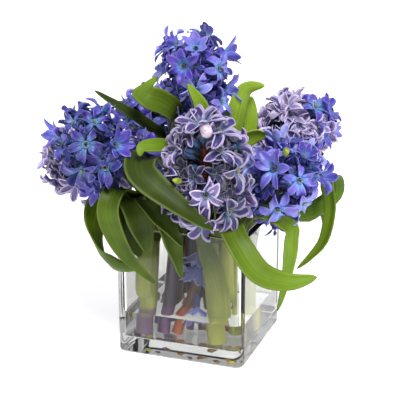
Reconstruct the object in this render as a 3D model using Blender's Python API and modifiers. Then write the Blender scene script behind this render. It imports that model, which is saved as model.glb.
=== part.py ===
"""Eight hyacinths in a clear square glass vase, their stems standing in a block of clear resin.

The origin is the centre of the vase's underside, +Z is up and the vase's front face looks along -Y.
Sizes in this script are millimetres, and MM turns them into metres where a mesh is made.
"""

import math
import random
from typing import NamedTuple

import bmesh
import bpy
from mathutils import Matrix, Vector
from mathutils.bvhtree import BVHTree

MM = 0.001
GAP = 0.3
UP = Vector((0, 0, 1))

VASE_SIDE = 102
VASE_WALL = 5
VASE_FLOOR = 12
CORNER_RADIUS = 7
INNER_CORNER = 4
FOOT_ROUNDING = 2.5
FLOOR_ROUNDING = 2
RIM_ROUNDING = 1.2
OVERCUT = 5

RESIN_TOP = 33
FEET_Z = 14
NECK = 4

RACHIS_LENGTH = 38
CORE_RADIUS = 5.5
CORE_FOOT = 6
CORE_FOOT_RADIUS = 4.5
CORE_TIP = 8
CORE_TIP_RADIUS = 2.5

FLORETS_A_HEAD = 19
FLORET_RISE = 27
FLORET_DROOP = 30
LOBE_LENGTH = 16.5
WIDE_LOBE = 4.3
NARROW_LOBE = 3.6
WIDEST_AT = 0.58
LOBE_ARCH = 0.8
TIP_DROP = 1.5
THROAT_RADIUS = 3.2
THROAT_DEPTH = 1.5
NOTCH_DEPTH = 2.1
TUBE_LENGTH = 30
GOLDEN_ANGLE = math.radians(137.5)
WANDER = 9
CLEARANCE_SCALE = 1.05
SPINS = [math.radians(10 * i) for i in range(12)]
LEANS = ((0, 0), (18, 0), (-18, 0), (0, 18), (0, -18))
TRIES = [(scale, lean) for scale in (1, 0.85, 0.7) for lean in LEANS]

LEAF_THICKNESS = 1.0
LEAF_STEPS = 40
STATION_STEP = 26
FEWEST_STATIONS = 4
CHANNEL = 0.3
BLADE_FOOT = 0.8
FULL_FROM = 0.3
TAPERS_FROM = 0.6
BLUNT_TIP = 0.12

VIOLET = (0.147, 0.125, 0.58, 1)
LILAC = (0.42, 0.33, 0.62, 1)
GREEN = (0.14, 0.30, 0.035, 1)
PALE_GREEN = (0.33, 0.42, 0.12, 1)
PURPLE_BROWN = (0.10, 0.07, 0.12, 1)
RED_BROWN = (0.25, 0.07, 0.03, 1)


class Stem(NamedTuple):
    """A stem's foot in x and y, a place at the vase's mouth that it passes, and its radius at each end."""

    foot: tuple
    mouth: tuple
    foot_radius: float
    top_radius: float
    colour: tuple


class Head(NamedTuple):
    """The middle of a flower head, and the way its tip points."""

    centre: tuple
    towards: tuple
    colour: tuple


class Leaf(NamedTuple):
    """A leaf springs from its stem at one height and follows its spine; its blade can roll along the way."""

    stem: str
    springs: float
    width: float
    spine: list
    rolls: tuple = (0, 0)


HEADS = {
    "front": Head((23, -53, 148), (0.05, -0.27, 0.96), LILAC),
    "left_front": Head((-54, -55, 158), (-0.42, -0.62, 0.66), VIOLET),
    "top": Head((-5, 3, 204), (-0.01, -0.10, 0.99), VIOLET),
    "right_front": Head((60, 2, 129), (0.60, -0.13, 0.79), VIOLET),
    "right_back": Head((49, 61, 148), (0.55, 0.28, 0.78), LILAC),
    "left_back": Head((-90, 2, 132), (-0.94, -0.13, 0.30), LILAC),
    "back_left": Head((-61, 70, 147), (-0.62, 0.25, 0.74), VIOLET),
    "back_right": Head((44, 119, 136), (0.38, 0.63, 0.67), VIOLET),
}

STEMS = {
    "front": Stem((24, -28), (15, -24, 98), 7.5, 5.0, PALE_GREEN),
    "left_front": Stem((-34, -28), (-31, -22, 96), 7.0, 5.0, PALE_GREEN),
    "top": Stem((-20, -20), (-14, -12, 100), 5.2, 5.0, PURPLE_BROWN),
    "right_front": Stem((35, 2), (34, 5, 82), 6.5, 4.6, PALE_GREEN),
    "right_back": Stem((-9, -18), (20, -2, 109), 4.2, 4.5, RED_BROWN),
    "left_back": Stem((-24, 14), (-28, 10, 100), 5.5, 5.0, PURPLE_BROWN),
    "back_left": Stem((8, 2), (-2, 12, 100), 5.0, 4.8, GREEN),
    "back_right": Stem((12, 28), (4, 30, 98), 6.0, 5.0, GREEN),
}

LEAVES = {
    "arch_front": Leaf("front", 84, 22, [(4, -24, 116), (-13, -36, 151), (-17, -55, 166), (-17, -72, 167),
                                         (-13, -84, 158), (3, -86, 144), (21, -84, 130), (36, -74, 116)]),
    "sweep_front": Leaf("front", 80, 20, [(24, -36, 106), (38, -49, 114), (50, -65, 106), (68, -69, 86),
                                          (88, -58, 78), (105, -46, 80)]),
    "sheath_front": Leaf("front", 50, 20, [(24, -37, 64), (22, -40, 82), (17, -41, 98), (12, -40, 110)]),
    "tip_top": Leaf("front", 88, 13, [(12, -21, 122), (8, -18, 175), (10, -25, 187), (8, -30, 199),
                                      (2, -34, 211)]),
    "strap_left": Leaf("left_front", 84, 16, [(-31, -36, 114), (-39, -61, 134), (-40, -76, 134),
                                              (-41, -81, 122), (-37, -77, 103), (-29, -71, 85),
                                              (-13, -62, 65)], (0, -25)),
    "twist_left": Leaf("left_front", 82, 20, [(-38, -32, 112), (-57, -46, 121), (-64, -55, 115),
                                              (-63, -63, 100), (-55, -67, 84), (-41, -68, 77),
                                              (-24, -66, 77)], (0, -50, -70, -100, -140, -180, -195)),
    "hang_mid": Leaf("left_front", 80, 13, [(-24, -38, 112), (-23, -59, 128), (-10, -67, 120),
                                            (0, -66, 110), (9, -63, 97)]),
    "hang_inner": Leaf("left_front", 76, 14, [(-20, -38, 108), (-14, -56, 119), (-5, -60, 110),
                                              (-1, -59, 98), (2, -57, 85), (5, -56, 70)]),
    "drop_left": Leaf("left_front", 86, 20, [(-33, -38, 114), (-32, -60, 128), (-26, -65, 119),
                                             (-22, -63, 103), (-20, -61, 89)]),
    "sheath_left": Leaf("left_front", 48, 20, [(-31, -37, 62), (-31, -39, 80), (-30, -40, 98),
                                               (-27, -40, 112)]),
    "hang_right": Leaf("right_front", 72, 12, [(41, -8, 102), (53, -10, 112), (73, -6, 102), (74, -5, 91),
                                               (73, -5, 75), (71, -8, 56), (67, -12, 35)], (30, 60, 62)),
    "loop_right": Leaf("right_front", 74, 13, [(39, 12, 109), (53, 18, 119), (74, 29, 102), (85, 39, 106),
                                               (95, 47, 115), (96, 41, 128), (94, 28, 129), (98, 23, 111),
                                               (95, 19, 87), (85, 16, 72), (75, 12, 62)], (-120, -120)),
    "under_right": Leaf("right_front", 78, 12, [(35, 17, 116), (29, 17, 154), (34, 17, 162), (43, 16, 166),
                                                (52, 15, 165)]),
    "dark_sheath": Leaf("right_back", 38, 25, [(0, -6, 46), (3, -3, 62), (5, -2, 80), (6, -3, 98),
                                               (6, -4, 112)], (45, 45)),
    "spear_left": Leaf("back_left", 84, 13, [(-13, 14, 116), (-27, 5, 140), (-26, -14, 165),
                                             (-34, -19, 173), (-46, -25, 183), (-59, -32, 193),
                                             (-70, -38, 202)], (-50, -60)),
    "fold_top": Leaf("back_left", 88, 22, [(-12, 12, 116), (-25, 6, 138), (-27, -8, 158), (-15, -23, 181),
                                           (-23, -32, 191), (-31, -40, 197), (-37, -35, 200),
                                           (-35, -24, 204), (-30, -18, 210)],
                                           (-60, -95, -95, -95, -90, -80)),
    "back_fall": Leaf("back_left", 80, 17, [(-12, 34, 114), (-24, 56, 124), (-36, 78, 108), (-42, 88, 78)]),
    "left_fall": Leaf("back_left", 76, 16, [(-26, 26, 110), (-48, 36, 116), (-66, 42, 100), (-74, 46, 70)]),
    "fold_right": Leaf("back_right", 86, 17, [(12, 24, 122), (20, 14, 152), (26, 12, 182), (31, 16, 199),
                                              (43, 24, 202)]),
    "blade_right": Leaf("back_right", 84, 14, [(17, 28, 122), (26, 27, 150), (31, 28, 174), (31, 29, 192)],
                                               (0, -45, -60)),
    "back_arch": Leaf("back_right", 80, 18, [(6, 48, 112), (4, 68, 118), (2, 88, 100), (0, 96, 68)]),
    "right_fall": Leaf("back_right", 76, 16, [(24, 39, 107), (48, 49, 110), (70, 58, 92), (78, 60, 62)]),
}

LOW_FLORET_STEM = "right_back"
LOW_FLORETS = ((44, (-0.35, -0.93, 0.1)), (66, (-0.45, -0.88, -0.1)))
LOW_FLORET_SCALE = 0.6


def material(name, colour, roughness, transmission=0.0, alpha=1.0):
    made = bpy.data.materials.new(name)
    made.use_nodes = True
    surface = made.node_tree.nodes["Principled BSDF"]
    surface.inputs["Base Color"].default_value = colour
    surface.inputs["Roughness"].default_value = roughness
    surface.inputs["Metallic"].default_value = 0.0
    surface.inputs["Transmission Weight"].default_value = transmission
    surface.inputs["Alpha"].default_value = alpha
    made.diffuse_color = colour
    return made


def new_collection(name):
    made = bpy.data.collections.new(name)
    bpy.context.scene.collection.children.link(made)
    return made


def object_of(mesh, name, collection, surface=None):
    made = bpy.data.objects.new(name, mesh)
    collection.objects.link(made)
    if surface:
        mesh.materials.clear()
        mesh.materials.append(surface)
    return made


def mesh_of(name, points, faces):
    """A mesh of points given in millimetres, with its normals outwards."""
    mesh = bpy.data.meshes.new(name)
    mesh.from_pydata([p * MM for p in points], [], faces)
    return mesh


def evaluated_mesh(thing):
    """The object's mesh with its modifiers applied."""
    graph = bpy.context.evaluated_depsgraph_get()
    return bpy.data.meshes.new_from_object(thing.evaluated_get(graph))


def clean(mesh):
    """Welds coincident points and turns the faces outwards."""
    form = bmesh.new()
    form.from_mesh(mesh)
    bmesh.ops.remove_doubles(form, verts=form.verts, dist=0.01 * MM)
    bmesh.ops.recalc_face_normals(form, faces=form.faces)
    form.to_mesh(mesh)
    form.free()
    return mesh


def discard(thing):
    data = thing.data
    bpy.data.objects.remove(thing)
    if isinstance(data, bpy.types.Curve):
        bpy.data.curves.remove(data)
    else:
        bpy.data.meshes.remove(data)


def boolean(thing, operation, cutter=None, collection=None):
    step = thing.modifiers.new(operation.title(), "BOOLEAN")
    step.operation = operation
    step.solver = "EXACT"
    if collection:
        step.operand_type = "COLLECTION"
        step.collection = collection
    else:
        step.object = cutter


def join_collection(thing, repeats):
    """Fuses a collection's objects into this one by one union, then removes them."""
    boolean(thing, "UNION", collection=repeats)
    joined = evaluated_mesh(thing)
    thing.modifiers.clear()
    old = thing.data
    thing.data = clean(joined)
    bpy.data.meshes.remove(old)
    for piece in list(repeats.objects):
        discard(piece)
    bpy.data.collections.remove(repeats)


def rounded_block(name, side, bottom, top, corner, foot_rounding, rim_rounding):
    """A square block whose upright edges are round and whose level edges are eased."""
    form = bmesh.new()
    bmesh.ops.create_cube(form, size=1)
    size = Matrix.Diagonal((side * MM, side * MM, (top - bottom) * MM, 1))
    lift = Matrix.Translation((0, 0, (top + bottom) / 2 * MM))
    bmesh.ops.transform(form, matrix=lift @ size, verts=form.verts)
    upright = [e for e in form.edges if abs(e.verts[0].co.z - e.verts[1].co.z) > MM]
    bmesh.ops.bevel(form, geom=upright, offset=corner * MM, segments=4, profile=0.5, affect="EDGES")
    for level, rounding in ((bottom, foot_rounding), (top, rim_rounding)):
        if rounding:
            ring = [e for e in form.edges if all(abs(v.co.z - level * MM) < 0.1 * MM for v in e.verts)]
            bmesh.ops.bevel(form, geom=ring, offset=rounding * MM, segments=2, profile=0.5, affect="EDGES")
    mesh = bpy.data.meshes.new(name)
    form.to_mesh(mesh)
    form.free()
    return clean(mesh)


def make_vase(parts, cutters):
    inside = VASE_SIDE - 2 * VASE_WALL
    glass = material("glass", (0.92, 0.95, 0.95, 1), 0.02, transmission=1.0, alpha=0.35)
    block = rounded_block("glass_vase", VASE_SIDE, 0, VASE_SIDE, CORNER_RADIUS, FOOT_ROUNDING, RIM_ROUNDING)
    vase = object_of(block, "glass_vase", parts, glass)
    top = VASE_SIDE + OVERCUT
    hollow = rounded_block("vase_hollow", inside, VASE_FLOOR, top, INNER_CORNER, FLOOR_ROUNDING, 0)
    cutter = object_of(hollow, "vase_hollow", cutters)
    cutter.hide_render = True
    cutter.display_type = "WIRE"
    boolean(vase, "DIFFERENCE", cutter)
    return vase


def make_resin(parts, paths):
    """The block of clear resin in the foot of the vase, with a blind hole for each stem."""
    side = VASE_SIDE - 2 * VASE_WALL - 2 * GAP
    bottom = VASE_FLOOR + GAP
    clear = material("clear_resin", (0.93, 0.95, 0.95, 1), 0.03, transmission=1.0, alpha=0.3)
    block = rounded_block("resin", side, bottom, RESIN_TOP, INNER_CORNER - GAP, FLOOR_ROUNDING, 0)
    resin = object_of(block, "resin", parts, clear)
    holes = new_collection("stem_holes")
    for name, path in paths.items():
        foot = STEMS[name].foot_radius + GAP
        deeper = path[0] - (path[1] - path[0]).normalized() * GAP
        hole = tube("hole_" + name, [deeper] + path[1:4], [foot, foot, foot, foot], holes)
        hole.hide_render = True
        hole.display_type = "WIRE"
    boolean(resin, "DIFFERENCE", collection=holes)


def hermite(start, start_pull, end, end_pull, t):
    return (
        start * (2 * t**3 - 3 * t**2 + 1)
        + start_pull * (t**3 - 2 * t**2 + t)
        + end * (3 * t**2 - 2 * t**3)
        + end_pull * (t**3 - t**2)
    )


def along(points, t):
    """The point at t, from 0 to 1, on a smooth curve through these points."""
    count = len(points) - 1
    span = min(int(t * count), count - 1)
    pulls = [(points[min(i + 1, count)] - points[max(i - 1, 0)]) / 2 for i in (span, span + 1)]
    return hermite(points[span], pulls[0], points[span + 1], pulls[1], t * count - span)


def head_axis(name):
    head = HEADS[name]
    return Vector(head.centre), Vector(head.towards).normalized()


def stem_path(name):
    """Points up a stem: straight to the mouth of the vase, then bending into the line of its head."""
    stem = STEMS[name]
    centre, axis = head_axis(name)
    foot = Vector((*stem.foot, FEET_Z))
    mouth = Vector(stem.mouth)
    top = centre - axis * (RACHIS_LENGTH / 2 + CORE_FOOT + GAP)
    neck = top - axis * NECK
    reach = (neck - mouth).length
    lower = [foot.lerp(mouth, t) for t in (0, 0.25, 0.5, 0.75)]
    rise = (mouth - foot).normalized() * reach
    upper = [hermite(mouth, rise, neck, axis * reach, i / 6) for i in range(7)]
    return lower + upper + [top]


def tube(name, path, radii, collection):
    """An eight-sided tube along a path, as a mesh object."""
    curve = bpy.data.curves.new(name + "_curve", "CURVE")
    curve.dimensions = "3D"
    curve.bevel_depth = MM
    curve.bevel_resolution = 2
    curve.use_fill_caps = True
    spline = curve.splines.new("POLY")
    spline.points.add(len(path) - 1)
    for point, place, radius in zip(spline.points, path, radii):
        point.co = (*place * MM, 1)
        point.radius = radius
    guide = bpy.data.objects.new(name + "_curve", curve)
    collection.objects.link(guide)
    mesh = clean(evaluated_mesh(guide))
    discard(guide)
    return object_of(mesh, name, collection)


def blade(name, leaf, path, collection):
    """A leaf's blade: three columns of points lofted along the spine, channelled, and thickened."""
    stem_point = min(path, key=lambda p: abs(p.z - leaf.springs))
    spine = [stem_point] + [Vector(p) for p in leaf.spine]
    places = [along(spine, i / LEAF_STEPS) for i in range(LEAF_STEPS + 1)]
    length = sum((b - a).length for a, b in zip(places, places[1:]))
    stations = max(FEWEST_STATIONS, round(length / STATION_STEP))
    kept = {round(i * LEAF_STEPS / stations) for i in range(stations + 1)}
    side = (places[LEAF_STEPS // 2] - places[0]).cross(UP).normalized()
    points = []
    for i, place in enumerate(places):
        ahead = (places[min(i + 1, LEAF_STEPS)] - places[max(i - 1, 0)]).normalized()
        side = (side - ahead * side.dot(ahead)).normalized()
        if i not in kept:
            continue
        t = i / LEAF_STEPS
        roll = along([Vector((r, 0, 0)) for r in leaf.rolls], t).x
        turned = Matrix.Rotation(math.radians(roll), 3, ahead) @ side
        half = blade_half_width(leaf, t)
        face = turned.cross(ahead)
        edge = face * half * CHANNEL
        points += [place - turned * half + edge, place, place + turned * half + edge]
    faces = []
    for i in range(stations):
        a = 3 * i
        faces += [(a, a + 1, a + 4), (a, a + 4, a + 3), (a + 1, a + 2, a + 4), (a + 2, a + 5, a + 4)]
    flat = object_of(mesh_of(name, points, faces), name, collection)
    thick = flat.modifiers.new("Thickness", "SOLIDIFY")
    thick.thickness = LEAF_THICKNESS * MM
    thick.offset = 0
    return flat


def blade_half_width(leaf, t):
    """Half a leaf's width along its length: as its stem at the foot, then full, tapering to a blunt tip."""
    full = leaf.width / 2
    if t < FULL_FROM:
        foot = STEMS[leaf.stem].foot_radius * BLADE_FOOT
        return foot + (full - foot) * math.sin(t / FULL_FROM * math.pi / 2)
    if t < TAPERS_FROM:
        return full
    fall = math.cos((t - TAPERS_FROM) / (1 - TAPERS_FROM) * math.pi / 2)
    return full * (BLUNT_TIP + (1 - BLUNT_TIP) * fall)


def make_leafy_stem(name, path, parts):
    stem = STEMS[name]
    taper = (stem.top_radius - stem.foot_radius) / (len(path) - 1)
    radii = [stem.foot_radius + taper * i for i in range(len(path))]
    made = tube("stem_" + name, path, radii, parts)
    made.data.materials.append(material("stem_" + name, stem.colour, 0.45))
    leaves = new_collection("leaves_" + name)
    for leaf_name, leaf in LEAVES.items():
        if leaf.stem == name:
            blade(leaf_name, leaf, path, leaves)
    if name == LOW_FLORET_STEM:
        shape, faces = floret_shape()
        for z, opens in LOW_FLORETS:
            t = (z - FEET_Z) / (stem.mouth[2] - FEET_Z)
            root = Vector((*stem.foot, FEET_Z)).lerp(Vector(stem.mouth), t)
            placed = placed_floret(shape, root, Vector(opens).normalized(), z, LOW_FLORET_SCALE, (0, 0))
            object_of(clean(mesh_of("low_floret", placed, faces)), "low_floret", leaves)
    if leaves.objects:
        join_collection(made, leaves)
    return made


def floret_shape():
    """One coarse floret, opening along +Z: six lobes round a shallow throat, on a tube that tapers away."""
    points = [-UP * THROAT_DEPTH, -UP * TUBE_LENGTH]
    for i in range(6):
        lobe, notch = math.radians(60 * i), math.radians(60 * i - 30)
        half_width = WIDE_LOBE if i % 2 else NARROW_LOBE
        out = Vector((math.cos(lobe), math.sin(lobe), 0))
        across = Vector((-math.sin(lobe), math.cos(lobe), 0))
        waist = out * LOBE_LENGTH * WIDEST_AT + UP * LOBE_ARCH
        points += [
            Vector((math.cos(notch), math.sin(notch), 0)) * THROAT_RADIUS - UP * NOTCH_DEPTH,
            waist - across * half_width,
            out * LOBE_LENGTH - UP * (TIP_DROP if i % 2 else 0),
            waist + across * half_width,
        ]
    faces = []
    for i in range(6):
        notch, left, tip, right = range(2 + 4 * i, 6 + 4 * i)
        following = 2 + 4 * ((i + 1) % 6)
        faces += [(0, notch, left), (0, left, right), (left, tip, right), (0, right, following)]
        faces += [(notch, tip, left), (tip, following, right), (notch, following, tip)]
        faces += [(notch, 1, following)]
    return points, faces


def floret_places(name):
    """Each floret's root on the rachis and the way it opens, on a golden spiral from the skirt up."""
    centre, axis = head_axis(name)
    across = axis.orthogonal().normalized()
    skirt = math.sin(math.radians(FLORET_DROOP)) * FLORET_RISE
    total = skirt + RACHIS_LENGTH + FLORET_RISE
    for k in range(FLORETS_A_HEAD):
        height = (k + 0.4) / (FLORETS_A_HEAD - 0.6) * total - skirt
        along_rachis = min(max(height, 0), RACHIS_LENGTH)
        lift = math.asin((height - along_rachis) / FLORET_RISE)
        around = Matrix.Rotation(GOLDEN_ANGLE * k, 3, axis) @ across
        root = centre + axis * (along_rachis - RACHIS_LENGTH / 2)
        yield root, around * math.cos(lift) + axis * math.sin(lift)


def placed_floret(points, root, opens, spin, scale, lean):
    """The floret's points where it grows: turned to open outwards, and leaning by two small angles."""
    turn = opens.to_track_quat("Z", "Y").to_matrix() @ Matrix.Rotation(math.radians(lean[0]), 3, "X")
    turn = turn @ Matrix.Rotation(math.radians(lean[1]), 3, "Y") @ Matrix.Rotation(spin, 3, "Z")
    return [root + turn @ (p * scale + UP * FLORET_RISE * scale) for p in points]


def tree_of(thing):
    form = bmesh.new()
    form.from_mesh(thing.data)
    bmesh.ops.scale(form, vec=(1 / MM, 1 / MM, 1 / MM), verts=form.verts)
    tree = BVHTree.FromBMesh(form)
    form.free()
    return tree


def clear_place(root, opens, wander, obstacles, grown):
    """The floret's points and its surface at the first size and lean that clear the obstacles.

    Of the spins that clear them, it takes the one that crosses the florets of its own head the least.
    """
    shape, faces = floret_shape()
    wider = [p * CLEARANCE_SCALE for p in shape]
    for scale, lean in TRIES:
        leaning = (lean[0] + wander[0], lean[1] + wander[1])
        free = []
        for spin in SPINS:
            tree = BVHTree.FromPolygons(placed_floret(wider, root, opens, spin, scale, leaning), faces)
            if not any(tree.overlap(other) for other in obstacles):
                free.append((sum(len(tree.overlap(other)) for other in grown), spin, tree))
        if free:
            spin, tree = min(free, key=lambda found: found[0])[1:]
            return placed_floret(shape, root, opens, spin, scale, leaning), tree
    return None


def make_head(name, parts, obstacles):
    """A head: a slim core with florets rooted in it, turned or made smaller where a neighbour is near."""
    colour = material("florets_" + name, HEADS[name].colour, 0.5)
    head = object_of(core_mesh(name), "head_" + name, parts, colour)
    florets = new_collection("florets_" + name)
    faces = floret_shape()[1]
    draw = random.Random(name)
    grown = []
    for root, opens in floret_places(name):
        wander = (draw.uniform(-WANDER, WANDER), draw.uniform(-WANDER, WANDER))
        found = clear_place(root, opens, wander, obstacles, grown)
        if found:
            object_of(clean(mesh_of("floret", found[0], faces)), "floret", florets)
            grown.append(found[1])
    join_collection(head, florets)
    return head


def core_mesh(name):
    """The slim core that a head's florets are rooted in: a profile turned round the rachis."""
    centre, axis = head_axis(name)
    half = RACHIS_LENGTH / 2
    profile = [(0, half + CORE_TIP), (CORE_TIP_RADIUS, half + CORE_TIP), (CORE_RADIUS, half),
               (CORE_RADIUS, -half), (CORE_FOOT_RADIUS, -half - CORE_FOOT), (0, -half - CORE_FOOT)]
    mesh = bpy.data.meshes.new(name + "_profile")
    mesh.from_pydata([(r * MM, 0, z * MM) for r, z in profile], [(i, i + 1) for i in range(5)], [])
    guide = bpy.data.objects.new(name + "_profile", mesh)
    bpy.context.scene.collection.objects.link(guide)
    turned = guide.modifiers.new("Turned", "SCREW")
    turned.steps = turned.render_steps = 8
    turned.use_merge_vertices = True
    turned.merge_threshold = 0.00001
    core = clean(evaluated_mesh(guide))
    discard(guide)
    core.transform(Matrix.Translation(centre * MM) @ axis.to_track_quat("Z", "Y").to_matrix().to_4x4())
    return core


def core_tree(name):
    core = bpy.data.objects.new("core", core_mesh(name))
    tree = tree_of(core)
    discard(core)
    return tree


def main():
    for thing in list(bpy.data.objects):
        bpy.data.objects.remove(thing)
    parts = new_collection("hyacinths_in_vase")
    cutters = new_collection("cutters")
    paths = {name: stem_path(name) for name in STEMS}
    obstacles = [tree_of(make_vase(parts, cutters))]
    make_resin(parts, paths)
    obstacles += [tree_of(make_leafy_stem(name, path, parts)) for name, path in paths.items()]
    cores = {name: core_tree(name) for name in HEADS}
    for name in HEADS:
        others = [tree for other, tree in cores.items() if other != name]
        obstacles.append(tree_of(make_head(name, parts, obstacles + others)))


main()
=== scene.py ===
"""Eight cut hyacinths standing in clear water in a square glass vase.

The vase stands on the floor with its centre at the origin, +Z is up and its front face looks along -Y.
"""

import math
import random

import bmesh
import bpy
from mathutils import Matrix, Vector
from mathutils.bvhtree import BVHTree


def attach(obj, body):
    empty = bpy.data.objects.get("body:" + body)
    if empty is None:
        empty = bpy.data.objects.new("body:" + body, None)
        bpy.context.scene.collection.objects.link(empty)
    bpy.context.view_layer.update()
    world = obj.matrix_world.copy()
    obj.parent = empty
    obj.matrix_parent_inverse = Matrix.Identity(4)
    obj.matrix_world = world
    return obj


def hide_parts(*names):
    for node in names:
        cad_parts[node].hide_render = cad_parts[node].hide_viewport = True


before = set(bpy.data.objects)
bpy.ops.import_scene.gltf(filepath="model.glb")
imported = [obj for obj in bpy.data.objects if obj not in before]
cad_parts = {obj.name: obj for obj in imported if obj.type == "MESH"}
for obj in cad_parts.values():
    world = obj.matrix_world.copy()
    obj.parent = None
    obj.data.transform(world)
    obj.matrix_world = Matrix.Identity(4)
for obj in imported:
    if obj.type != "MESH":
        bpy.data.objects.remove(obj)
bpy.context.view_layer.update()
MM = 0.001
UP = Vector((0, 0, 1))


# Vase: a cube of thick clear glass pressed in one piece, with a heavy foot, soft corners and a polished rim.
# The outside and the hollow are two rounded blocks, and the second is cut out of the first.
VASE_SIDE = 102 * MM
VASE_WALL = 5 * MM
VASE_FLOOR = 12 * MM
OUTER_CORNER = 7 * MM
INNER_CORNER = 4 * MM
FOOT_ROUNDING = 2.5 * MM
FLOOR_ROUNDING = 2 * MM
RIM_ROUNDING = 2 * MM
MOUTH_EASING = 1.8 * MM
CORNER_STEPS = 10
EASING_STEPS = 6
PAST_RIM = 1.1
SAME_PLACE = 0.1 * MM
SMOOTH_BELOW = math.radians(40)
GLASS_IOR = 1.45
# A grey tint, darker than clear glass: partly the glass's own tint and partly painted shade that dims the
# vase.
GLASS_TINT_AND_SHADE = (0.81, 0.81, 0.795, 1)
GLINT = (0.5, 0.5, 0.5, 1)


def pick(thing, chosen):
    """Selects the edges of a mesh in edit mode that pass a test."""
    bpy.ops.mesh.select_mode(type="EDGE")
    bpy.ops.mesh.select_all(action="DESELECT")
    form = bmesh.from_edit_mesh(thing.data)
    for edge in form.edges:
        edge.select_set(chosen(edge))
    bmesh.update_edit_mesh(thing.data)


def level_at(height):
    """A test for edges that lie level at this height."""
    return lambda edge: all(abs(v.co.z - height) < SAME_PLACE for v in edge.verts)


def rounded_block(name, side, bottom, top, corner, foot, rim):
    """A square block with round upright edges and eased level ones."""
    bpy.ops.object.select_all(action="DESELECT")
    bpy.ops.mesh.primitive_cube_add(size=1, location=(0, 0, (bottom + top) / 2),
                                    scale=(side, side, top - bottom))
    bpy.ops.object.transform_apply(location=True, rotation=False, scale=True)
    block = bpy.context.object
    block.name = name
    bpy.ops.object.mode_set(mode="EDIT")
    pick(block, lambda edge: abs(edge.verts[0].co.z - edge.verts[1].co.z) > MM)
    bpy.ops.mesh.bevel(offset=corner, segments=CORNER_STEPS)
    for height, rounding in ((bottom, foot), (top, rim)):
        if rounding:
            pick(block, level_at(height))
            bpy.ops.mesh.bevel(offset=rounding, segments=EASING_STEPS)
    bpy.ops.object.mode_set(mode="OBJECT")
    return block


def apply_all(thing):
    """Applies the modifiers of the active object in order."""
    for modifier in list(thing.modifiers):
        bpy.ops.object.modifier_apply(modifier=modifier.name)


def smooth_evenly(block):
    """Smooths the roundings of the active object and keeps its broad faces flat."""
    bpy.ops.object.shade_smooth_by_angle(angle=SMOOTH_BELOW)
    even = block.modifiers.new("Even", "WEIGHTED_NORMAL")
    even.keep_sharp = True
    apply_all(block)


def see_through(name, ior, tint):
    """A clear body that bends light but lets lamps shine on what stands inside it."""
    made = bpy.data.materials.new(name)
    made.use_nodes = True
    nodes, links = made.node_tree.nodes, made.node_tree.links
    body = nodes["Principled BSDF"]
    body.inputs["Base Color"].default_value = tint
    body.inputs["Roughness"].default_value = 0
    body.inputs["IOR"].default_value = ior
    body.inputs["Transmission Weight"].default_value = 1
    body.inputs["Specular Tint"].default_value = GLINT
    passing = nodes.new("ShaderNodeBsdfTransparent")
    passing.inputs["Color"].default_value = tint
    path = nodes.new("ShaderNodeLightPath")
    mixed = nodes.new("ShaderNodeMixShader")
    links.new(path.outputs["Is Shadow Ray"], mixed.inputs["Fac"])
    links.new(body.outputs["BSDF"], mixed.inputs[1])
    links.new(passing.outputs["BSDF"], mixed.inputs[2])
    links.new(mixed.outputs["Shader"], nodes["Material Output"].inputs["Surface"])
    return made


hollow = rounded_block("hollow", VASE_SIDE - 2 * VASE_WALL, VASE_FLOOR, VASE_SIDE * PAST_RIM,
                       INNER_CORNER, FLOOR_ROUNDING, 0)
vase = rounded_block("vase", VASE_SIDE, 0, VASE_SIDE, OUTER_CORNER, FOOT_ROUNDING, RIM_ROUNDING)
cut = vase.modifiers.new("Hollow", "BOOLEAN")
cut.operation = "DIFFERENCE"
cut.object = hollow
apply_all(vase)
bpy.data.objects.remove(hollow)
bpy.ops.object.mode_set(mode="EDIT")
inner_edge = VASE_SIDE / 2 - VASE_WALL + SAME_PLACE
pick(vase, lambda edge: level_at(VASE_SIDE)(edge)
     and all(max(abs(v.co.x), abs(v.co.y)) < inner_edge for v in edge.verts))
bpy.ops.mesh.bevel(offset=MOUTH_EASING, segments=EASING_STEPS)
bpy.ops.object.mode_set(mode="OBJECT")
smooth_evenly(vase)
vase.data.materials.append(see_through("clear_glass", GLASS_IOR, GLASS_TINT_AND_SHADE))
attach(vase, "root")
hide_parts("glass_vase")


# Water: it fills the foot of the vase up to a level line and meets the glass all round.
# The stems stand in it, so it has no holes of its own.
WATER_TOP = 33 * MM
WATER_IOR = 1.33
WATER_TINT = (0.965, 0.98, 0.98, 1)
MEETS_GLASS = 0.05 * MM

water = rounded_block("water", VASE_SIDE - 2 * VASE_WALL + 2 * MEETS_GLASS, VASE_FLOOR - MEETS_GLASS,
                      WATER_TOP, INNER_CORNER, FLOOR_ROUNDING, 0)
smooth_evenly(water)
water.data.materials.append(see_through("clear_water", WATER_IOR, WATER_TINT))
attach(water, "root")
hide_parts("resin")


# Stems: thick juicy scapes, cut across at the foot. Each stands straight in the vase and bends above its
# mouth into the line of its flower head. Some are pale green, some flushed purple or red brown.
FEET_Z = 14
NECK = 4
RACHIS_LENGTH = 38
CORE_FOOT = 6
GAP = 0.3
STEM_ROUNDNESS = 7
STRAIGHT_STEPS = 8
BEND_STEPS = 24
STALK_SEAM = 0.01 * MM
STALK_SMOOTH_BELOW = math.radians(50)
FACES_DOWN = -0.7
STEM_ROUGHNESS = 0.38
STEM_STREAKS = (260, 260, 14)
PITH_GRAIN = 380
ON_GLASS = VASE_FLOOR / MM - 0.1
PITHS = {"pale_stem": ((0.50, 0.48, 0.02, 1), (0.62, 0.60, 0.16, 1)),
         "flushed_stem": ((0.16, 0.06, 0.16, 1), (0.50, 0.42, 0.12, 1)),
         "green_stem": ((0.20, 0.08, 0.02, 1), (0.40, 0.30, 0.06, 1)),
         "dark_stem": ((0.12, 0.04, 0.12, 1), (0.34, 0.20, 0.12, 1)),
         "red_stem": ((0.40, 0.10, 0.01, 1), (0.60, 0.42, 0.08, 1))}
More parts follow.
